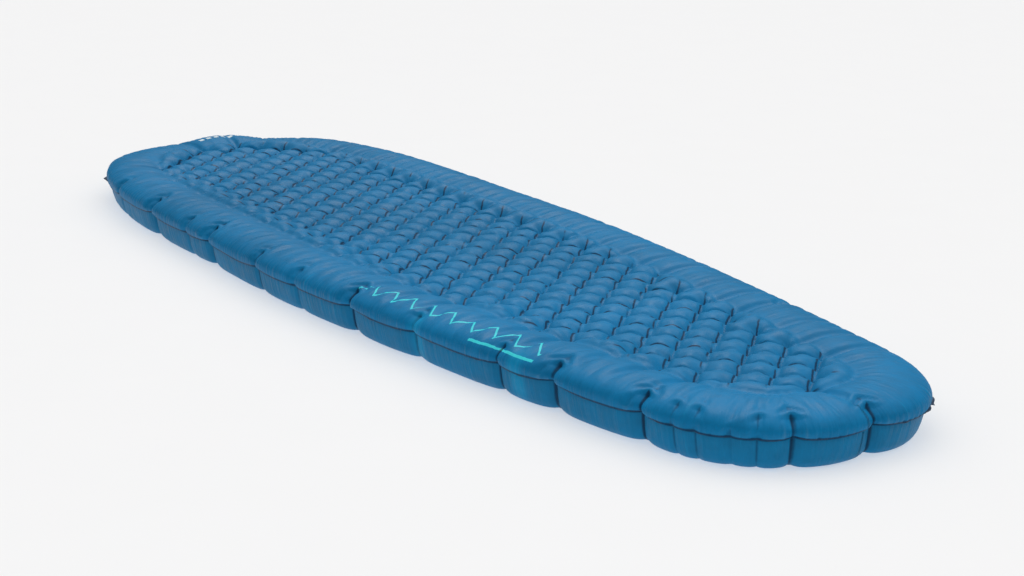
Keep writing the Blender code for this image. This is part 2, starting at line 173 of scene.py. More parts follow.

# Finishes, and the painted shade and painted light in the fabric's colour
FABRIC_COLOUR = (0.002, 0.182, 0.405)
FABRIC_BELOW_COLOUR = (0.004, 0.178, 0.375)
# Painted highlight on the gathers by the seam, and painted light where light comes through the fabric
FABRIC_PAINTED_LIGHT = (0.006, 0.36, 0.66)
# Painted shade: mixed into the fabric's colour in hollows, crease bottoms, weld pits, fold bottoms and along
# the seam
PAINTED_SHADE_COLOUR = (0.001, 0.020, 0.060)
# Painted highlight on sharp ridges and crests
PAINTED_HIGHLIGHT_COLOUR = (0.20, 0.40, 0.58)
HOLLOW_GAIN = 2.2
TUBE_HOLLOW_MOST = 0.30
HOLLOW_BLURS = 1
# Painted shade along the seam, under the upper sheet's overhang: from and to these lengths from the seam
SEAM_SHADE_FROM = 0.0012
SEAM_SHADE_TO = 0.0034
PIT_DEPTH = 0.0008
PIT_REACH = 0.0045
FOLD_DEPTH = 0.0026
FOLD_REACH = 0.0030
# Painted shade at the fold bottoms: its width, its wander, and for each set of folds its way and the noise
# range that breaks it up
FOLD_SHADE_WIDTH = 0.0011
FOLD_SHADE_WANDER = 0.12
FOLD_SHADE_SETS = (("ADD", 0.34, 0.46), ("SUBTRACT", 0.50, 0.60))
RAY_SHIFT = 7.3
# Half width of the painted shade at the bottoms of the deep creases
SLIT_WIDTH = 0.0022
DEEPEST_CREASE = 0.013
FLANGE_COLOUR = (0.006, 0.040, 0.095)
WEAVE_SCALE = 480.0
SHARP_FROM = math.radians(50)
MERGE_BELOW = 0.000001
EDGE_ROUNDING = 0.0003
ROUNDED_FROM = math.radians(40)

# Camera, floor and light. The camera's seven numbers are the output of a fit to the photograph.
CAMERA_PLACE = (2.4086, -1.3892, 0.7258)
CAMERA_ANGLES = (14.84, 147.9965, 0.66)
CAMERA_LENS = 68.55
FLOOR_SIZE = 60.0
FLOOR_Z = -0.0005
HORIZON_STRENGTH = 0.16
ZENITH_STRENGTH = 0.66
BACKDROP_STRENGTH = 0.91
KEY_TOWARD = (0.60, -0.42, -1.0)
KEY_STRENGTH = 1.5
KEY_SPREAD = 30.0
FLOOR_LIGHT_STRENGTH = 1.87
FILL_PLACE = (1.45, 0.55, 1.15)
FILL_POWER = 3.6
FILL_SIZE = 1.1

# Deep creases across the tube: (share of the way round from the foot tip, depth, half length of the mouth).
# The shares with four decimals, apart from 0.6795, are the output of a program.
CREASES = (
    (0.0032, 0.013, 0.016), (0.063, 0.006, 0.012), (0.118, 0.009, 0.014), (0.176, 0.006, 0.012),
    (0.236, 0.010, 0.014), (0.287, 0.006, 0.012), (0.335, 0.009, 0.014), (0.392, 0.006, 0.012),
    (0.445, 0.008, 0.014), (0.548, 0.006, 0.014), (0.606, 0.005, 0.010), (0.6451, 0.013, 0.015),
    (0.6795, 0.005, 0.010), (0.6984, 0.013, 0.015), (0.7391, 0.007, 0.012), (0.7674, 0.006, 0.011),
    (0.8002, 0.013, 0.015), (0.8352, 0.009, 0.018), (0.8755, 0.009, 0.013), (0.8987, 0.014, 0.016),
    (0.9332, 0.013, 0.017), (0.9449, 0.004, 0.007), (0.9518, 0.004, 0.007), (0.9615, 0.004, 0.007),
    (0.9687, 0.004, 0.007), (0.9783, 0.012, 0.013),
)


def cap_factor(distance, cap_length, power):
    reach = 1.0 - np.clip(distance, 0.0, cap_length) / cap_length
    return (1.0 - reach**power) ** (1.0 / power)


def half_width(x):
    along = np.maximum(0.0, (x - TAPER_START_X) / (FOOT_X - TAPER_START_X))
    straight = CHEST_HALF_WIDTH - FOOT_NARROWING * along**TAPER_POWER
    head = cap_factor(x - HEAD_X, HEAD_CAP_LENGTH, HEAD_CAP_POWER)
    foot = cap_factor(FOOT_X - x, FOOT_CAP_LENGTH, FOOT_CAP_POWER)
    return straight * head * foot


def smooth(low, high, value):
    part = np.clip((value - low) / (high - low), 0.0, 1.0)
    return part * part * (3.0 - 2.0 * part)


def edge_outline(count):
    """The seam line in plan, anticlockwise from the foot tip, evenly spaced, and its outward normals."""
    turn = np.linspace(0.0, math.pi, OUTLINE_SAMPLES)
    x = FOOT_X * np.cos(turn)
    upper = np.column_stack([x, half_width(x)])
    points = np.vstack([upper, upper[-2:0:-1] * (1.0, -1.0)])
    closed = np.vstack([points, points[:1]])
    reached = np.concatenate([[0.0], np.cumsum(np.hypot(*np.diff(closed, axis=0).T))])
    wanted = np.arange(count) * reached[-1] / count
    even = np.column_stack([np.interp(wanted, reached, closed[:, axis]) for axis in (0, 1)])
    along = np.roll(even, -2, axis=0) - np.roll(even, 2, axis=0)
    normals = np.column_stack([along[:, 1], -along[:, 0]])
    return even, normals / np.linalg.norm(normals, axis=1, keepdims=True), reached[-1]


EDGE, OUTWARD, PERIMETER = edge_outline(EDGE_STEPS)
EDGE_SHARE = np.arange(EDGE_STEPS) / EDGE_STEPS


def plan_tree(points):
    """A search tree of plan points."""
    tree = KDTree(len(points))
    for i, (x, y) in enumerate(points):
        tree.insert((x, y, 0.0), i)
    tree.balance()
    return tree


def weld_points(last_inset):
    """Plan points of the welds inside the tube."""
    ring = EDGE - OUTWARD * last_inset
    upper = ring[ring[:, 1] >= 0]
    upper = upper[np.argsort(upper[:, 0])]
    tree = plan_tree(ring)
    reach = int((FOOT_X - HEAD_X) / WELD_PITCH) + 1
    points = []
    for row in range(2 * ROWS_EACH_SIDE + 1):
        y = (row - ROWS_EACH_SIDE) * ROW_PITCH
        for half_step in range(-2 * reach, 2 * reach):
            x = WELD_SHIFT + half_step * WELD_PITCH / 2
            if (half_step + row) % 2 or abs(y) > np.interp(x, upper[:, 0], upper[:, 1], -1.0, -1.0):
                continue
            if tree.find((x, y, 0.0))[2] > WELD_TO_TUBE:
                points.append((x, y))
    return np.array(points)


WELDS = weld_points(TUBE_CENTRE_INSET - TUBE_HALF_WIDTH * math.cos(TUBE_TO))


def nearest_weld(points):
    """Distance from each plan point to the nearest weld, and which weld that is."""
    tree = plan_tree(WELDS)
    found = [tree.find((x, y, 0.0)) for x, y in points]
    return np.array([hit[2] for hit in found]), np.array([hit[1] for hit in found])


def snapped_to_welds(points):
    """Moves the point nearest to each weld onto it. Returns each point's distance to its nearest weld."""
    away, which = nearest_weld(points)
    first = {}
    for k in np.argsort(away)[: 4 * len(WELDS)]:
        first.setdefault(which[k], k)
    for weld, k in first.items():
        points[k] = WELDS[weld]
        away[k] = 0.0
    return away


def length_round(share, at):
    """The length round the edge from each share of the way round to one of them, the shorter way."""
    return np.abs((share - at + 0.5) % 1.0 - 0.5) * PERIMETER


def strongest_crease(share, effect):
    """The largest effect of any crease at each share, from the crease's depth, half length and distance."""
    most = np.zeros(len(share))
    for at, deep, half in CREASES:
        most = np.maximum(most, effect(deep, half, length_round(share, at)))
    return most


def crease_depth(share):
    """How deep the creases cut into the tube at each share of the way round."""
    return strongest_crease(share, lambda deep, half, away: deep * np.exp(-away / half * CREASE_STEEPNESS))


def edge_valleys(share):
    """How deep the valleys that run out across the tube from the outermost welds are, from 0 to 1."""
    tree = plan_tree(EDGE)
    depth = np.zeros_like(share)
    for x, y in WELDS:
        _, at, away = tree.find((x, y, 0.0))
        near = float(smooth(VALLEY_NONE_AT, VALLEY_FULL_AT, away))
        run = length_round(share, EDGE_SHARE[at])
        depth = np.maximum(depth, near * np.exp(-run / VALLEY_WIDTH))
    return depth


def tube_profile():
    """(inset, height, angle, length so far) of each ring, evenly spaced along the section from the seam."""
    angle = np.linspace(TUBE_FROM, TUBE_TO, PROFILE_SAMPLES)
    inset = TUBE_CENTRE_INSET - TUBE_HALF_WIDTH * np.cos(angle)
    height = TUBE_CENTRE_Z + TUBE_HALF_HEIGHT * np.sin(angle)
    length = np.concatenate([[0.0], np.cumsum(np.hypot(np.diff(inset), np.diff(height)))])
    wanted = np.linspace(0.0, length[-1], int(length[-1] / RING_STEP) + 1)
    return [np.interp(wanted, length, values) for values in (inset, height, angle, length)]


def field_mesh(ring, step):
    """A square grid inside the ring, joined to it by a band of triangles. Returns the grid's points, all
    faces, and the grid's numbers, which count the ring's points first. -1 is a place that the ring leaves
    out."""
    upper = ring[ring[:, 1] >= 0]
    upper = upper[np.argsort(upper[:, 0])]
    tree = plan_tree(ring)
    xs = np.arange(ring[:, 0].min(), ring[:, 0].max(), step)
    half = int(ring[:, 1].max() / step) + 1
    ys = np.arange(-half, half + 1) * step
    number = -np.ones((len(xs), len(ys)), int)
    points = []
    limit = np.interp(xs, upper[:, 0], upper[:, 1])
    for i, x in enumerate(xs):
        for j, y in enumerate(ys):
            if abs(y) < limit[i] and tree.find((x, y, 0.0))[2] > 0.75 * step:
                number[i, j] = len(ring) + len(points)
                points.append((x, y))
    corners = np.stack([number[:-1, :-1], number[1:, :-1], number[1:, 1:], number[:-1, 1:]], axis=-1)
    kept = (corners >= 0).all(axis=-1)
    faces = [tuple(c) for c in corners[kept]]
    uses = np.zeros(len(ring) + len(points), int)
    np.add.at(uses, corners[kept].ravel(), 1)
    band = [n for n in range(len(ring), len(uses)) if uses[n] < 4]
    everything = np.vstack([ring, points])
    source = list(range(len(ring))) + band
    place = {n: k for k, n in enumerate(source)}
    edges = [(k, (k + 1) % len(ring)) for k in range(len(ring))]
    count = {}
    for face in faces:
        for a, b in zip(face, face[1:] + face[:1]):
            key = (min(a, b), max(a, b))
            count[key] = count.get(key, 0) + 1
    rim = [key for key, times in count.items() if times == 1]
    edges += [(place[a], place[b]) for a, b in rim]
    plan = [Vector(everything[n]) for n in source]
    out, _, triangles, _, _, _ = delaunay_2d_cdt(plan, edges, [], 0, 1e-7)
    if len(out) != len(plan):
        raise ValueError("the band's points are too close together")
    x0, y0 = xs[0], ys[0]
    for triangle in triangles:
        names = [source[k] for k in triangle]
        cx, cy = everything[names].mean(axis=0)
        i, j = int((cx - x0) // step), int((cy - y0) // step)
        inside = 0 <= i < kept.shape[0] and 0 <= j < kept.shape[1] and kept[i, j]
        outside = abs(cy) > np.interp(cx, upper[:, 0], upper[:, 1], 0, 0) and min(names) < len(ring)
        if not inside and not (outside and max(names) < len(ring)):
            faces.append(tuple(names))
    return np.array(points), faces, number


def ring_faces(rings, start=0):
    faces = []
    for r in range(rings - 1):
        for i in range(EDGE_STEPS):
            j = (i + 1) % EDGE_STEPS
            a, b = start + r * EDGE_STEPS, start + (r + 1) * EDGE_STEPS
            faces.append((a + i, a + j, b + j, b + i))
    return faces


def waves(share, seed, counts):
    """A sum of waves round the edge with set numbers of cycles, from -1 to 1."""
    phases = np.random.default_rng(seed).uniform(0.0, 2.0 * math.pi, len(counts))
    return sum(np.sin(2.0 * math.pi * n * share + p) for n, p in zip(counts, phases)) / len(counts)


def seam_height():
    """The seam's height at each edge step: it hangs in swags between the deep creases."""
    swag = strongest_crease(
        EDGE_SHARE, lambda deep, _, away: deep / DEEPEST_CREASE * np.exp(-away / SWAG_REACH))
    drift = SWAG_LIFT * swag - SEAM_SAG + SEAM_WAVE * waves(EDGE_SHARE, 3, (19, 31, 44))
    beside_boat = smooth(BOAT_HALF_WIDTH, 3.0 * BOAT_HALF_WIDTH, np.abs(EDGE[:, 1]))
    return SEAM_Z + drift * np.where(EDGE[:, 0] < 0.0, beside_boat, 1.0)


def head_drop(x):
    """How much lower the tube is round the head end, as a share of its rise."""
    return HEAD_DROP * smooth(HEAD_X + HEAD_DROP_NONE_AT, HEAD_X + HEAD_DROP_FULL_AT, x)


def head_lobe(x, y):
    """The raised lobe at the middle of the head end, from 0 to 1."""
    across = np.maximum(0.0, 1.0 - ((y - HEAD_LOBE_Y) / HEAD_LOBE_HALF_WIDTH) ** 2)
    return across**1.5 * (x < -0.5)


def boat_lift(x, y):
    """How far the sheets part over the valve's boat at the head seam."""
    return BOAT_LIFT * np.maximum(0.0, 1.0 - (y / BOAT_HALF_WIDTH) ** 2) * (x < 0.0)


def upper_shape():
    """The upper fabric before it is blown up: points, flat pattern, faces, straight pairs of points, how
    firmly each point is held, and each point's length round the edge and up from the seam."""
    inset, height, angle, length = tube_profile()
    rings = len(inset)
    crease = crease_depth(EDGE_SHARE)
    valley = edge_valleys(EDGE_SHARE)
    places, flat, firm, edge_place = [], [], [], []
    inner = EDGE - OUTWARD * inset[-1]
    seam = seam_height()
    for r in range(rings):
        reach = smooth(math.radians(98), math.radians(25), angle[r])
        plan = EDGE - OUTWARD * (inset[r] + crease * reach)[:, None]
        up = max(height[r] - TUBE_CENTRE_Z, 0.0)
        z = height[r] - up * head_drop(plan[:, 0])
        z = z - CREASE_LOWERS * crease * reach * max(0.0, math.sin(angle[r]))
        z += HEAD_LOBE_RISE * head_lobe(plan[:, 0], plan[:, 1]) * max(0.0, math.sin(angle[r]))
        z = z - VALLEY_DEPTH * (valley - 0.35) * smooth(math.radians(45), math.radians(115), angle[r])
        if r == 0:
            z = seam
        z = z + boat_lift(*plan.T) * (1.0 - smooth(0.0, LIFT_REACH, z - SEAM_Z))
        places.append(np.column_stack([plan, z]))
        out = inner * (1.0 + FIELD_EXCESS) + OUTWARD * (length[-1] - length[r])
        flat.append(out)
        held = (crease * (angle[r] < CREASE_HELD_TO) > CREASE_HELD_DEPTH) | (r == 0)
        firm.append(np.where(held, 1.0, TUBE_HOLD))
        edge_place.append(np.column_stack([EDGE_SHARE * PERIMETER, np.full(EDGE_STEPS, length[r])]))
    start = (rings - 1) * EDGE_STEPS
    points, faces, grid = field_mesh(places[-1][:, :2], FIELD_STEP)
    away = snapped_to_welds(points)
    z = WELD_Z + (PUFF_Z - WELD_Z) * (1.0 - np.exp(-(away / PUFF_REACH) ** 2))
    places.append(np.column_stack([points, z]))
    flat.append(points * (1.0 + FIELD_EXCESS))
    firm.append(np.where(away < WELD_RADIUS, 1.0, 0.0))
    edge_place.append(np.column_stack([points[:, 0], np.full(len(points), FIELD_MARK)]))
    faces = ring_faces(rings) + [tuple(n + start for n in face) for face in faces]
    ring_numbers = np.arange(rings * EDGE_STEPS).reshape(rings, EDGE_STEPS)
    grid = np.where(grid >= 0, grid + start, -1)
    straight = [np.stack([ring_numbers, np.roll(ring_numbers, -2, axis=1)], axis=-1),
                np.stack([ring_numbers, np.roll(ring_numbers, -4, axis=1)], axis=-1),
                np.stack([ring_numbers[:-2], ring_numbers[2:]], axis=-1),
                np.stack([grid[:-2], grid[2:]], axis=-1), np.stack([grid[:, :-2], grid[:, 2:]], axis=-1)]
    straight = np.vstack([pairs.reshape(-1, 2) for pairs in straight])
    straight = straight[(straight >= 0).all(axis=1)]
    return [np.vstack(places), np.vstack(flat), faces, straight, np.concatenate(firm), np.vstack(edge_place)]


def scattered(numbers, values, count):
    """The sum of values for each point number."""
    return np.column_stack([np.bincount(numbers, values[:, axis], count) for axis in range(3)])


def blown_up(points, flat, faces, straight, firm):
    """The points after a cloth simulation: each step pushes them out along the fabric's normal, then
    passes over the threads bring every stretch of fabric, also crosswise and between straight pairs, back
    to its flat length."""
    quads = np.array([face for face in faces if len(face) == 4])
    corners = np.array([(f[0], f[1], f[2], f[-1]) for f in faces])
    sides = np.vstack([corners[:, [0, 1]], corners[:, [1, 2]], corners[:, [2, 3]], corners[:, [3, 0]]])
    sides = sides[sides[:, 0] != sides[:, 1]]
    sides = np.unique(np.sort(sides, axis=1), axis=0)
    crosses = np.vstack([quads[:, [0, 2]], quads[:, [1, 3]]])
    threads = np.vstack([sides, crosses, straight])
    counts = [len(sides), len(crosses), len(straight)]
    pull = np.repeat([1.0, SHEAR_STIFFNESS, BEND_STIFFNESS], counts)
    press = pull * np.repeat([PRESS_STIFFNESS, PRESS_STIFFNESS, 1.0], counts)
    rest = np.linalg.norm(flat[threads[:, 0]] - flat[threads[:, 1]], axis=1)
    a, b = threads.T
    count = len(points)
    free = (firm < 1.0).astype(float)
    share = free[a] + free[b] + 1e-9
    load = np.bincount(np.concatenate([a, b]), np.concatenate([pull, pull]), count)
    step = (BLOW_RELAX * free / load)[:, None]
    place = points + np.random.default_rng(1).normal(0.0, START_NOISE, points.shape) * free[:, None]
    before = place.copy()
    hold = (firm * free)[:, None]
    for _ in range(BLOW_STEPS):
        first, second, third, fourth = (place[corners[:, k]] for k in range(4))
        cross = np.cross(third - first, fourth - second)
        normal = scattered(corners.ravel(), np.repeat(cross, 4, axis=0), count)
        normal /= np.linalg.norm(normal, axis=1, keepdims=True)
        speed = (place - before) * BLOW_DRAG
        before = place.copy()
        place = place + (speed + normal * BLOW_PUSH) * free[:, None] + (points - place) * hold
        for _ in range(BLOW_PASSES):
            run = place[b] - place[a]
            length = np.linalg.norm(run, axis=1)
            error = (length - rest) / length
            move = run * (np.where(error > 0.0, pull, press) * error / share)[:, None]
            place = place + (scattered(a, move, count) - scattered(b, move, count)) * step
    shift = place - points
    far = np.linalg.norm(shift, axis=1, keepdims=True)
    return points + shift * np.minimum(1.0, BLOW_LIMIT / np.maximum(far, 1e-9))


def mesh_object(name, points, faces, material):
    mesh = bpy.data.meshes.new(name)
    mesh.from_pydata(points.tolist(), [], [tuple(int(n) for n in face) for face in faces])
    mesh.update()
    mesh.shade_smooth()
    mesh.materials.append(material)
    obj = bpy.data.objects.new(name, mesh)
    bpy.context.scene.collection.objects.link(obj)
    return obj


def store_uv(obj, values):
    """Writes a value pair for each point as the mesh's UV map."""
    corners = np.empty(len(obj.data.loops), int)
    obj.data.loops.foreach_get("vertex_index", corners)
    layer = obj.data.uv_layers.new(name="edge")
    layer.data.foreach_set("uv", values[corners].astype(np.float32).ravel())


def store_vector(obj, name, values):
    obj.data.attributes.new(name, "FLOAT_VECTOR", "POINT").data.foreach_set(
        "vector", values.astype(np.float32).ravel())


def fold_distances(x, y):
    """How far a point is from the two sets of lines that join neighbouring welds corner to corner."""
    slope = math.hypot(1.0 / WELD_PITCH, 0.5 / ROW_PITCH)
    along, across = (x - WELD_SHIFT) / WELD_PITCH, 0.5 * y / ROW_PITCH
    return [np.abs(way - np.round(way)) / slope for way in (along + across, along - across)]


def weld_rays(points):
    """For each point: the direction from its nearest weld as x and y, and the distance in metres as z."""
    away, which = nearest_weld(points[:, :2])
    run = points[:, :2] - WELDS[which]
    return np.column_stack([run / np.maximum(away, 1e-4)[:, None] + which[:, None] * RAY_SHIFT, away])


def narrow_creases(edge_place):
    """How near each point is to the bottom of a deep crease, from 0 to 1, fading out over the crest."""
    share, up = edge_place[:, 0] / PERIMETER, edge_place[:, 1]
    slit = strongest_crease(
        share, lambda deep, _, away: deep / DEEPEST_CREASE * np.exp(-(away / SLIT_WIDTH) ** 2))
    return slit * (1.0 - smooth(0.03, 0.06, up))


def store_hollow(obj, points, edge_place):
    """Writes how sharply hollow, or if negative how sharply ridged, the fabric is at each point."""
    edges = np.empty(len(obj.data.edges) * 2, int)
    obj.data.edges.foreach_get("vertices", edges)
    a, b = edges.reshape(-1, 2).T
    normal = np.empty(len(points) * 3)
    obj.data.vertices.foreach_get("normal", normal)
    normal = normal.reshape(-1, 3)
    run = points[b] - points[a]
    length = np.linalg.norm(run, axis=1)
    rise = np.bincount(a, (run * normal[a]).sum(1) / length, len(points))
    rise += np.bincount(b, -(run * normal[b]).sum(1) / length, len(points))
    around = np.bincount(np.concatenate([a, b]), minlength=len(points))
    hollow = rise / around
    for _ in range(HOLLOW_BLURS):
        mean = (np.bincount(a, hollow[b], len(points)) + np.bincount(b, hollow[a], len(points))) / around
        hollow = 0.5 * (hollow + mean)
    most = np.where(edge_place[:, 1] < FIELD_MARK, TUBE_HOLLOW_MOST, np.inf)
    # The fabric's colour paints shade where this is high and a highlight where it is low; the crease bottoms
    # are added so that they take painted shade too
    hollow = np.minimum(hollow * HOLLOW_GAIN, most) + narrow_creases(edge_place)
    obj.data.attributes.new("hollow", "FLOAT", "POINT").data.foreach_set("value", hollow.astype(np.float32))


def upper_fabric(material):
    points, flat, faces, straight, firm, edge_place = upper_shape()
    points = blown_up(points, flat, faces, straight, firm)
    away, _ = nearest_weld(points[:, :2])
    quilted = (edge_place[:, 1] == FIELD_MARK) * (1.0 - smooth(0.5 * WELD_PITCH, 0.75 * WELD_PITCH, away))
    rising = smooth(WELD_RADIUS, 3.0 * WELD_RADIUS, away)
    fold = np.exp(-np.minimum(*fold_distances(*points[:, :2].T)) / FOLD_REACH)
    points[:, 2] -= PIT_DEPTH * np.exp(-away / PIT_REACH) + FOLD_DEPTH * fold * quilted * rising
    obj = mesh_object("upper_fabric", points, faces, material)
    store_hollow(obj, points, edge_place)
    store_uv(obj, edge_place)
    store_vector(obj, "weld_ray", weld_rays(points))
    return obj


def lower_fabric(material):
    """The wall below the seam and the underside, with its own weld pits."""
    wall = np.array(WALL)
    length = np.concatenate([[0.0], np.cumsum(np.hypot(*np.diff(wall, axis=0).T))])
    wanted = np.linspace(0.0, length[-1], int(length[-1] / RING_STEP) + 1)
    inset, height = (np.interp(wanted, length, wall[:, k]) for k in (0, 1))
    crease = crease_depth(EDGE_SHARE)
    ripple = waves(EDGE_SHARE, 5, (61, 83, 112, 140, 171))
    sway = waves(EDGE_SHARE, 8, (13, 22, 29, 37))
    seam = seam_height()
    places, edge_place = [], []
    for r, depth in enumerate(wanted):
        down = depth / length[-1]
        belly = math.sin(math.pi * min(1.0, height[r] / SEAM_Z))
        plan = EDGE - OUTWARD * (inset[r] + crease * (0.9 - 0.5 * down) - WALL_RIPPLE * ripple * belly
                                 - WALL_SWAY * sway * down)[:, None]
        z = height[r] + (seam - SEAM_Z) * (1.0 - down)
        lift = WALL_CREASE_LIFT * crease + WALL_SWAY_LIFT * (1.0 + sway)
        z = z + lift * smooth(0.45, 0.85, down) * (1.0 - smooth(0.9, 1.0, down))
        z = z - boat_lift(*plan.T) * (1.0 - smooth(0.0, LIFT_REACH, SEAM_Z - z))
        places.append(np.column_stack([plan, np.broadcast_to(z, EDGE_STEPS)]))
        edge_place.append(np.column_stack([EDGE_SHARE * PERIMETER, np.full(EDGE_STEPS, depth)]))
    rings = len(wanted)
    start = (rings - 1) * EDGE_STEPS
    points, faces, _ = field_mesh(places[-1][:, :2], UNDER_STEP)
    away = snapped_to_welds(points)
    pit = UNDER_PIT * np.exp(-(away / UNDER_PIT_REACH) ** 2)
    places.append(np.column_stack([points, pit]))
    edge_place.append(np.column_stack([points[:, 0], np.full(len(points), FIELD_MARK)]))
    faces = ring_faces(rings) + [tuple(n + start for n in face) for face in faces]
    points = np.vstack(places)
    obj = mesh_object("lower_fabric", points, [face[::-1] for face in faces], material)
    store_hollow(obj, points, np.vstack(edge_place))
    store_uv(obj, np.vstack(edge_place))
    store_vector(obj, "weld_ray", weld_rays(points))
    return obj


def edge_flange(material):
    """The welded edge of the two sheets, open where the valve's boat stands."""
    crease = crease_depth(EDGE_SHARE)
    fin = sum(np.exp(-((EDGE_SHARE - at) / half) ** 2) for at, half in FINS)
    out = EDGE_OUT + EDGE_OUT_WAVE * waves(EDGE_SHARE, 11, (90, 131, 177)) + FIN_OUT * fin * (
        1.0 + 0.5 * waves(EDGE_SHARE, 12, (210, 260)))
    seam = seam_height()
    flutter = EDGE_FLUTTER * waves(EDGE_SHARE, 14, (70, 95, 150))
    flutter = flutter + FIN_FLUTTER * fin * waves(EDGE_SHARE, 15, (120, 180))
    kept = np.flatnonzero(~((np.abs(EDGE[:, 1]) < BOAT_HALF_WIDTH) & (EDGE[:, 0] < 0.0)))
    gap = int(np.flatnonzero(np.diff(kept) > 1)[0]) + 1
    kept = np.concatenate([kept[gap:], kept[:gap]])
    across = ((-0.006, 0.0), (0.0, 0.0), (0.55, 0.5), (1.0, 1.0))
    sections = []
    for side in (1, -1):
        for along, lift in across[::side]:
            offset = np.where(along < 0.0, along, out * along) - crease * EDGE_IN_CREASE
            plan = EDGE + OUTWARD * offset[:, None]
            sections.append(np.column_stack([plan, seam + flutter * lift + side * FLANGE_HALF_THICKNESS]))
    points = np.concatenate([section[kept] for section in sections])
    count, width = len(kept), len(sections)
    faces = []
    for k in range(width):
        low, high = k * count, (k + 1) % width * count
        faces += [(low + i, low + i + 1, high + i + 1, high + i) for i in range(count - 1)]
    faces.append(tuple(k * count for k in range(width)))
    faces.append(tuple(k * count + count - 1 for k in reversed(range(width))))
    return mesh_object("edge_flange", points, faces, material)


# Materials

def new_material(name, colour, roughness, **extra):
    material = bpy.data.materials.new(name)
    material.use_nodes = True
    shader = material.node_tree.nodes["Principled BSDF"]
    shader.inputs["Base Color"].default_value = (*colour, 1.0)
    shader.inputs["Roughness"].default_value = roughness
    for socket, value in extra.items():
        shader.inputs[socket.replace("_", " ")].default_value = value
    return material, material.node_tree, shader


def add(tree, kind, **settings):
    node = tree.nodes.new(kind)
    for key, value in settings.items():
        if key in node.inputs:
            node.inputs[key].default_value = value
        else:
            setattr(node, key, value)
    return node


def maths(tree, operation, first, second=None, third=None):
    node = tree.nodes.new("ShaderNodeMath")
    node.operation = operation
    for socket, value in zip(node.inputs, (first, second, third)):
        if value is None:
            continue
        if isinstance(value, (int, float)):
            socket.default_value = value
        else:
            tree.links.new(value, socket)
    return node.outputs[0]


def mapped_noise(tree, vector, scale, detail=3.0, roughness=0.55, stretch=(1.0, 1.0, 1.0)):
    mapping = add(tree, "ShaderNodeMapping")
    mapping.inputs["Scale"].default_value = [scale * s for s in stretch]
    tree.links.new(vector, mapping.inputs["Vector"])
    noise = add(tree, "ShaderNodeTexNoise", Scale=1.0, Detail=detail, Roughness=roughness)
    tree.links.new(mapping.outputs[0], noise.inputs["Vector"])
    return noise.outputs["Fac"]


def ramp(tree, value, low, high, to_low=0.0, to_high=1.0):
    node = add(tree, "ShaderNodeMapRange", interpolation_type="SMOOTHSTEP")
    tree.links.new(value, node.inputs["Value"])
    for socket, number in (("From Min", low), ("From Max", high), ("To Min", to_low), ("To Max", to_high)):
        node.inputs[socket].default_value = number
    return node.outputs["Result"]


def bump(tree, shader, height, strength, distance, before=None):
    node = add(tree, "ShaderNodeBump", Strength=strength, Distance=distance)
    tree.links.new(height, node.inputs["Height"])
    if before is not None:
        tree.links.new(before, node.inputs["Normal"])
    tree.links.new(node.outputs[0], shader.inputs["Normal"])
    return node.outputs[0]


def mixed(tree, factor, first, second):
    node = add(tree, "ShaderNodeMix", data_type="RGBA")
    for socket, value in ((node.inputs["Factor"], factor), (node.inputs[6], first), (node.inputs[7], second)):
        if isinstance(value, (tuple, list)):
            socket.default_value = (*value, 1.0)
        elif isinstance(value, (int, float)):
            socket.default_value = value
        else:
            tree.links.new(value, socket)
    return node.outputs[2]


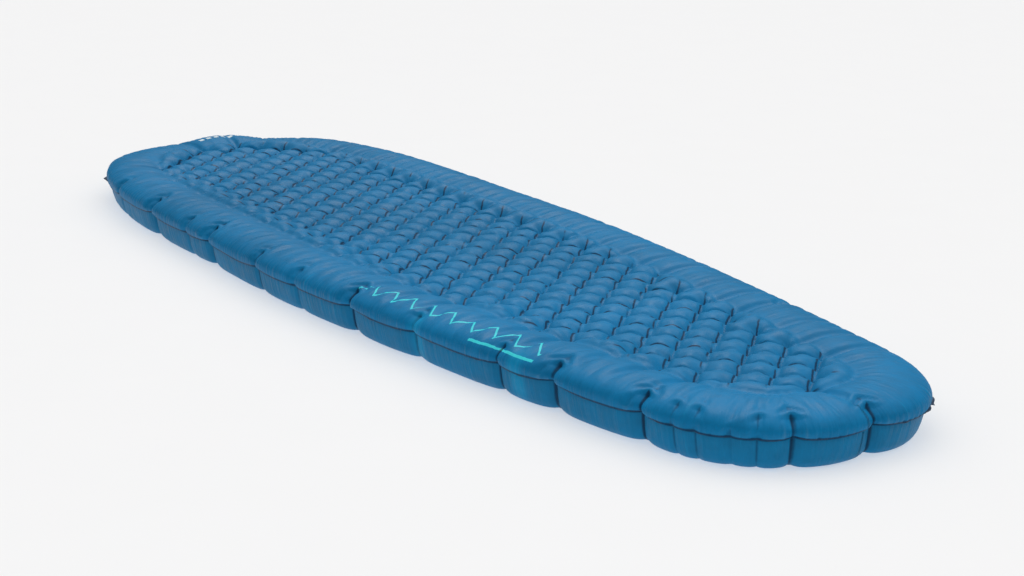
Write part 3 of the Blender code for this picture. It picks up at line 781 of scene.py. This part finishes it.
def coated_fabric(name, colour, painted_light_colour, printed):
    """Coated plain-weave polyester: threads, small crumples, gathers by the seam and rays round the welds."""
    material, tree, shader = new_material(name, colour, 0.45, Specular_IOR_Level=0.1)
    place = add(tree, "ShaderNodeTexCoord").outputs["Object"]
    edge = add(tree, "ShaderNodeUVMap", uv_map="edge").outputs["UV"]
    split = add(tree, "ShaderNodeSeparateXYZ")
    tree.links.new(edge, split.inputs[0])
    around, up = split.outputs[0], split.outputs[1]
    ray = add(tree, "ShaderNodeAttribute", attribute_name="weld_ray").outputs["Vector"]
    ray_split = add(tree, "ShaderNodeSeparateXYZ")
    tree.links.new(ray, ray_split.inputs[0])
    away = ray_split.outputs[2]

    cloud = mapped_noise(tree, place, 3.5, 3.0)
    mottle = mapped_noise(tree, place, 55.0, 4.0)
    shade = maths(tree, "ADD", maths(tree, "MULTIPLY", cloud, 0.35), maths(tree, "MULTIPLY", mottle, 0.3))
    body = mixed(tree, ramp(tree, shade, 0.2, 0.45), [c * 0.86 for c in colour], [c * 1.12 for c in colour])
    # Painted highlight along the gathers by the seam, and painted light where light comes through the fabric,
    # mixed in towards a lighter blue
    gather = mapped_noise(tree, edge, 1.0, 3.0, 0.5, (150.0, 11.0, 1.0))
    near_seam = ramp(tree, up, 0.055, 0.004)
    painted_light = maths(tree, "MULTIPLY", ramp(tree, gather, 0.62, 0.75), near_seam)
    for share in LIT_THROUGH_PATCHES:
        beside = maths(tree, "ABSOLUTE", maths(tree, "SUBTRACT", around, share * PERIMETER))
        painted_light_patch = maths(tree, "MULTIPLY", ramp(tree, beside, 1.8 * LIT_THROUGH_HALF_WIDTH, 0.4 * LIT_THROUGH_HALF_WIDTH),
                      ramp(tree, up, 0.048, 0.020))
        painted_light = maths(tree, "MAXIMUM", painted_light, painted_light_patch)
    body = mixed(tree, maths(tree, "MULTIPLY", painted_light, 0.5), body, painted_light_colour)
    if printed:
        body = mixed(tree, print_mask(tree, around, up), body, PRINT_COLOUR)
        body = mixed(tree, head_mark_mask(tree, place), body, HEAD_MARK_COLOUR)
    hollow = add(tree, "ShaderNodeAttribute", attribute_name="hollow").outputs["Fac"]
    # Painted shade: darker in hollows and crease bottoms and at the weld pits
    deep = maths(tree, "MAXIMUM", ramp(tree, hollow, 0.12, 0.9), ramp(tree, away, 0.0045, 0.0015))
    # Painted shade along the seam, under the upper sheet's overhang
    deep = maths(tree, "MAXIMUM", deep, ramp(tree, up, SEAM_SHADE_TO, SEAM_SHADE_FROM))
    if printed:
        # Painted shade at the fold bottoms between welds
        deep = maths(tree, "MAXIMUM", deep, fold_shade_mask(tree, place, up, away))
    body = mixed(tree, maths(tree, "MULTIPLY", deep, 0.85), body, PAINTED_SHADE_COLOUR)
    # Painted highlight on sharp ridges and crests
    body = mixed(tree, ramp(tree, hollow, -0.22, -0.75, 0.0, 0.42), body, PAINTED_HIGHLIGHT_COLOUR)
    tree.links.new(body, shader.inputs["Base Color"])
    tree.links.new(ramp(tree, mottle, 0.3, 0.7, 0.42, 0.55), shader.inputs["Roughness"])

    weave_x = add(tree, "ShaderNodeTexWave", bands_direction="X", Scale=WEAVE_SCALE, Distortion=0.3)
    weave_y = add(tree, "ShaderNodeTexWave", bands_direction="Y", Scale=WEAVE_SCALE, Distortion=0.3)
    for wave in (weave_x, weave_y):
        tree.links.new(place, wave.inputs["Vector"])
    weave = maths(tree, "MULTIPLY", weave_x.outputs["Fac"], weave_y.outputs["Fac"])
    normal = bump(tree, shader, weave, 0.25, 0.00008)
    crumple = mapped_noise(tree, place, 95.0, 4.0, 0.6)
    normal = bump(tree, shader, crumple, 0.35, 0.0007, normal)
    rays = mapped_noise(tree, ray, 2.6, 2.0, 0.5, (1.0, 1.0, 0.0))
    rays = maths(tree, "MULTIPLY", rays, ramp(tree, away, 0.019, 0.004))
    normal = bump(tree, shader, rays, 0.8, 0.0030, normal)
    gathers = maths(tree, "MULTIPLY", gather, near_seam)
    bump(tree, shader, gathers, 0.8, 0.0032, normal)
    return material


def fold_shade_mask(tree, place, up, away):
    """Painted shade at the fold bottoms between neighbouring welds, deeper in one set than the other."""
    split = add(tree, "ShaderNodeSeparateXYZ")
    tree.links.new(place, split.inputs[0])
    along = maths(tree, "DIVIDE", maths(tree, "SUBTRACT", split.outputs[0], WELD_SHIFT), WELD_PITCH)
    across = maths(tree, "DIVIDE", split.outputs[1], 2.0 * ROW_PITCH)
    slope = math.hypot(1.0 / WELD_PITCH, 0.5 / ROW_PITCH)
    wander = maths(tree, "MULTIPLY", mapped_noise(tree, place, 60.0, 2.0), FOLD_SHADE_WANDER)
    broken = mapped_noise(tree, place, 34.0, 1.0)
    masks = []
    for kind, low, high in FOLD_SHADE_SETS:
        way = maths(tree, "ADD", maths(tree, kind, along, across), wander)
        line = maths(tree, "DIVIDE", maths(tree, "PINGPONG", way, 0.5), slope)
        masks.append(maths(tree, "MULTIPLY", ramp(tree, line, FOLD_SHADE_WIDTH * 1.6, FOLD_SHADE_WIDTH * 0.5),
                           ramp(tree, broken, low, high)))
    here = maths(tree, "MULTIPLY", maths(tree, "GREATER_THAN", up, 0.5 * FIELD_MARK),
                 ramp(tree, away, 0.55 * WELD_PITCH, 0.35 * WELD_PITCH))
    return maths(tree, "MULTIPLY", maths(tree, "MAXIMUM", *masks), here)


def print_mask(tree, around, up):
    """A plain zigzag ridge line and a short stripe below it, printed along the near side of the tube."""
    inside = maths(tree, "MULTIPLY", maths(tree, "GREATER_THAN", around, PRINT_FROM),
                   maths(tree, "LESS_THAN", around, PRINT_TO))
    ridge = maths(tree, "PINGPONG", around, PRINT_PEAK)
    ridge = maths(tree, "ADD", maths(tree, "MULTIPLY", ridge, PRINT_STEEPNESS), PRINT_LOW)
    off_line = maths(tree, "ABSOLUTE", maths(tree, "SUBTRACT", up, ridge))
    line = maths(tree, "LESS_THAN", off_line, PRINT_STROKE)
    beside = maths(tree, "ABSOLUTE", maths(tree, "SUBTRACT", up, PRINT_STRIPE_UP))
    late = maths(tree, "GREATER_THAN", around, PRINT_STRIPE_FROM)
    stripe = maths(tree, "MULTIPLY", maths(tree, "LESS_THAN", beside, PRINT_STROKE), late)
    return maths(tree, "MULTIPLY", maths(tree, "MAXIMUM", line, stripe), inside)


def head_mark_mask(tree, place):
    """A short row of pale dashes on the raised lobe at the head."""
    split = add(tree, "ShaderNodeSeparateXYZ")
    tree.links.new(place, split.inputs[0])
    x, y = split.outputs[0], split.outputs[1]
    inward = maths(tree, "ABSOLUTE", maths(tree, "SUBTRACT", x, HEAD_X + HEAD_MARK_INSET))
    band = maths(tree, "LESS_THAN", inward, HEAD_MARK_HALF_DEPTH)
    sideways = maths(tree, "ABSOLUTE", maths(tree, "SUBTRACT", y, HEAD_LOBE_Y))
    span = maths(tree, "LESS_THAN", sideways, HEAD_MARK_HALF_WIDTH)
    dash = maths(tree, "LESS_THAN", maths(tree, "PINGPONG", y, HEAD_MARK_PITCH), HEAD_MARK_DASH)
    return maths(tree, "MULTIPLY", maths(tree, "MULTIPLY", band, span), dash)


def grained(name, colour, roughness, scale, depth, spread=0.15, stretch=(1.0, 1.0, 1.0), **extra):
    """A moulded, fibrous or drawn finish: fine grain in the colour, the roughness and the height."""
    material, tree, shader = new_material(name, colour, roughness, **extra)
    place = add(tree, "ShaderNodeTexCoord").outputs["Object"]
    grain = mapped_noise(tree, place, scale, 4.0, 0.6, stretch)
    broad = mapped_noise(tree, place, scale / 25.0, 2.0)
    tint = mixed(tree, ramp(tree, broad, 0.3, 0.7), [c * (1.0 - spread) for c in colour],
                 [min(1.0, c * (1.0 + spread)) for c in colour])
    tree.links.new(tint, shader.inputs["Base Color"])
    tree.links.new(ramp(tree, grain, 0.3, 0.7, roughness * 0.85, min(1.0, roughness * 1.15)),
                   shader.inputs["Roughness"])
    bump(tree, shader, grain, 0.4, depth)
    return material


def smooth_by_angle():
    """A modifier's node group that shades faces smooth and keeps edges sharper than a limit sharp."""
    group = bpy.data.node_groups.new("smooth_by_angle", "GeometryNodeTree")
    group.interface.new_socket("Geometry", in_out="INPUT", socket_type="NodeSocketGeometry")
    group.interface.new_socket("Geometry", in_out="OUTPUT", socket_type="NodeSocketGeometry")
    start, end = group.nodes.new("NodeGroupInput"), group.nodes.new("NodeGroupOutput")
    angle = group.nodes.new("GeometryNodeInputMeshEdgeAngle")
    sharp = group.nodes.new("FunctionNodeCompare")
    sharp.operation = "GREATER_THAN"
    sharp.inputs["B"].default_value = SHARP_FROM
    faces, edges = (group.nodes.new("GeometryNodeSetShadeSmooth") for _ in range(2))
    edges.domain = "EDGE"
    edges.inputs["Shade Smooth"].default_value = False
    old_normals = group.nodes.new("GeometryNodeRemoveAttribute")
    old_normals.inputs["Name"].default_value = "custom_normal"
    for out, into in ((start.outputs[0], old_normals.inputs[0]), (old_normals.outputs[0], faces.inputs[0]),
                      (faces.outputs[0], edges.inputs[0]),
                      (angle.outputs[0], sharp.inputs["A"]), (sharp.outputs[0], edges.inputs["Selection"]),
                      (edges.outputs[0], end.inputs[0])):
        group.links.new(out, into)
    return group


def dress_cad_nodes():
    """Gives every carried-over CAD node its finish, and rounds the moulded parts' edges."""
    plastic = grained("moulded_black_plastic", (0.020, 0.022, 0.026), 0.42, 2600.0, 0.00005)
    rubber = grained("matt_silicone", (0.035, 0.035, 0.037), 0.75, 1800.0, 0.00003)
    steel = grained("drawn_steel", (0.60, 0.60, 0.60), 0.28, 1500.0, 0.00002, 0.05, (1.0, 0.05, 1.0),
                    Metallic=1.0)
    fibre = grained("bonded_fibre", (0.75, 0.77, 0.78), 0.9, 420.0, 0.0006, 0.08, (1.0, 0.3, 1.0))
    film = grained("coated_film", (0.65, 0.68, 0.70), 0.3, 160.0, 0.0002, 0.05)
    finishes = {"valve_spout": plastic, "closure_pin": plastic, "valve_grip": plastic,
                "valve_mouthpiece": plastic, "travel_seal": rubber, "mouth_seal": rubber,
                "non_return_flap": rubber, "flap_pin": steel, "insulation_layer": fibre}
    replaced = {"top_sheet", "bottom_sheet", "perimeter_weld"}
    shading = smooth_by_angle()
    for name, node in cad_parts.items():
        if name in replaced:
            continue
        node.data.materials.clear()
        node.data.materials.append(finishes.get(name, film))
        node.modifiers.new("join_faces", "WELD").merge_threshold = MERGE_BELOW
        if finishes.get(name) is plastic:
            edges = node.modifiers.new("soft_edges", "BEVEL")
            edges.width = EDGE_ROUNDING
            edges.segments = 2
            edges.limit_method = "ANGLE"
            edges.angle_limit = ROUNDED_FROM
        node.modifiers.new("shading", "NODES").node_group = shading


def place_camera():
    """Low over the foot end's near corner, level to within a degree."""
    data = bpy.data.cameras.new("camera")
    data.lens = CAMERA_LENS
    data.sensor_width = 36.0
    camera = bpy.data.objects.new("camera", data)
    bpy.context.scene.collection.objects.link(camera)
    elevation, azimuth, roll = (math.radians(a) for a in CAMERA_ANGLES)
    ahead = Vector((math.cos(elevation) * math.cos(azimuth), math.cos(elevation) * math.sin(azimuth),
                    -math.sin(elevation)))
    level = Vector((math.sin(azimuth), -math.cos(azimuth), 0.0))
    above = level.cross(ahead)
    right = level * math.cos(roll) + above * math.sin(roll)
    up = above * math.cos(roll) - level * math.sin(roll)
    turn = Matrix((right, up, -ahead)).transposed().to_4x4()
    camera.matrix_world = Matrix.Translation(CAMERA_PLACE) @ turn
    bpy.context.scene.camera = camera


def light(name, kind, toward, strength, floor, on_floor, place=(0.0, 0.0, 0.0)):
    """A soft light, distant or a square panel, for the floor alone or for everything but the floor."""
    data = bpy.data.lights.new(name, kind)
    data.energy = strength
    if kind == "SUN":
        data.angle = math.radians(KEY_SPREAD)
    else:
        data.size = FILL_SIZE
    data.use_shadow = not on_floor
    obj = bpy.data.objects.new(name, data)
    obj.location = place
    obj.rotation_euler = Vector(toward).to_track_quat("-Z", "Y").to_euler()
    bpy.context.scene.collection.objects.link(obj)
    receivers = bpy.data.collections.new(name + "_receivers")
    receivers.objects.link(floor)
    obj.light_linking.receiver_collection = receivers
    receivers.collection_objects[0].light_linking.link_state = "INCLUDE" if on_floor else "EXCLUDE"


def studio():
    material, tree, shader = new_material("pale_floor", (0.84, 0.84, 0.84), 0.9)
    place = add(tree, "ShaderNodeTexCoord").outputs["Object"]
    fine = mapped_noise(tree, place, 9.0, 2.0)
    tint = mixed(tree, fine, (0.835, 0.835, 0.838), (0.845, 0.845, 0.848))
    tree.links.new(tint, shader.inputs["Base Color"])
    bpy.ops.mesh.primitive_plane_add(size=FLOOR_SIZE, location=(0.0, 0.0, FLOOR_Z))
    floor = bpy.context.object
    floor.name = "floor"
    floor.data.materials.append(material)
    world = bpy.data.worlds.new("studio")
    world.use_nodes = True
    tree = world.node_tree
    up = add(tree, "ShaderNodeSeparateXYZ")
    tree.links.new(add(tree, "ShaderNodeTexCoord").outputs["Generated"], up.inputs[0])
    overhead = ramp(tree, up.outputs[2], 0.0, 1.0, HORIZON_STRENGTH, ZENITH_STRENGTH)
    seen = add(tree, "ShaderNodeLightPath").outputs["Is Camera Ray"]
    backdrop = maths(tree, "MULTIPLY", seen, BACKDROP_STRENGTH)
    lighting = maths(tree, "MULTIPLY", overhead, maths(tree, "SUBTRACT", 1.0, seen))
    tree.links.new(maths(tree, "ADD", backdrop, lighting), tree.nodes["Background"].inputs["Strength"])
    tree.nodes["Background"].inputs["Color"].default_value = (1.0, 1.0, 1.0, 1.0)
    bpy.context.scene.world = world
    light("key", "SUN", KEY_TOWARD, KEY_STRENGTH, floor, False)
    light("floor_light", "SUN", (0.0, 0.0, -1.0), FLOOR_LIGHT_STRENGTH, floor, True)
    to_foot = Vector((FOOT_X, 0.0, 0.0)) - Vector(FILL_PLACE)
    light("foot_fill", "AREA", to_foot, FILL_POWER, floor, False, FILL_PLACE)
    bpy.context.scene.view_settings.view_transform = "Standard"


def build():
    place_camera()
    studio()
    fabric = coated_fabric("coated_fabric", FABRIC_COLOUR, FABRIC_PAINTED_LIGHT, True)
    below = coated_fabric("coated_fabric_below", FABRIC_BELOW_COLOUR, FABRIC_PAINTED_LIGHT, False)
    band = grained("welded_edge", FLANGE_COLOUR, 0.5, 900.0, 0.0001)
    upper = upper_fabric(fabric)
    lower = lower_fabric(below)
    flange = edge_flange(band)
    for piece, node, slot in ((upper, "top_sheet", "coated_fabric"),
                              (lower, "bottom_sheet", "coated_fabric_below"),
                              (flange, "perimeter_weld", "weld_band")):
        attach(piece, "pad")
        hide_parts(node)
    dress_cad_nodes()


build()
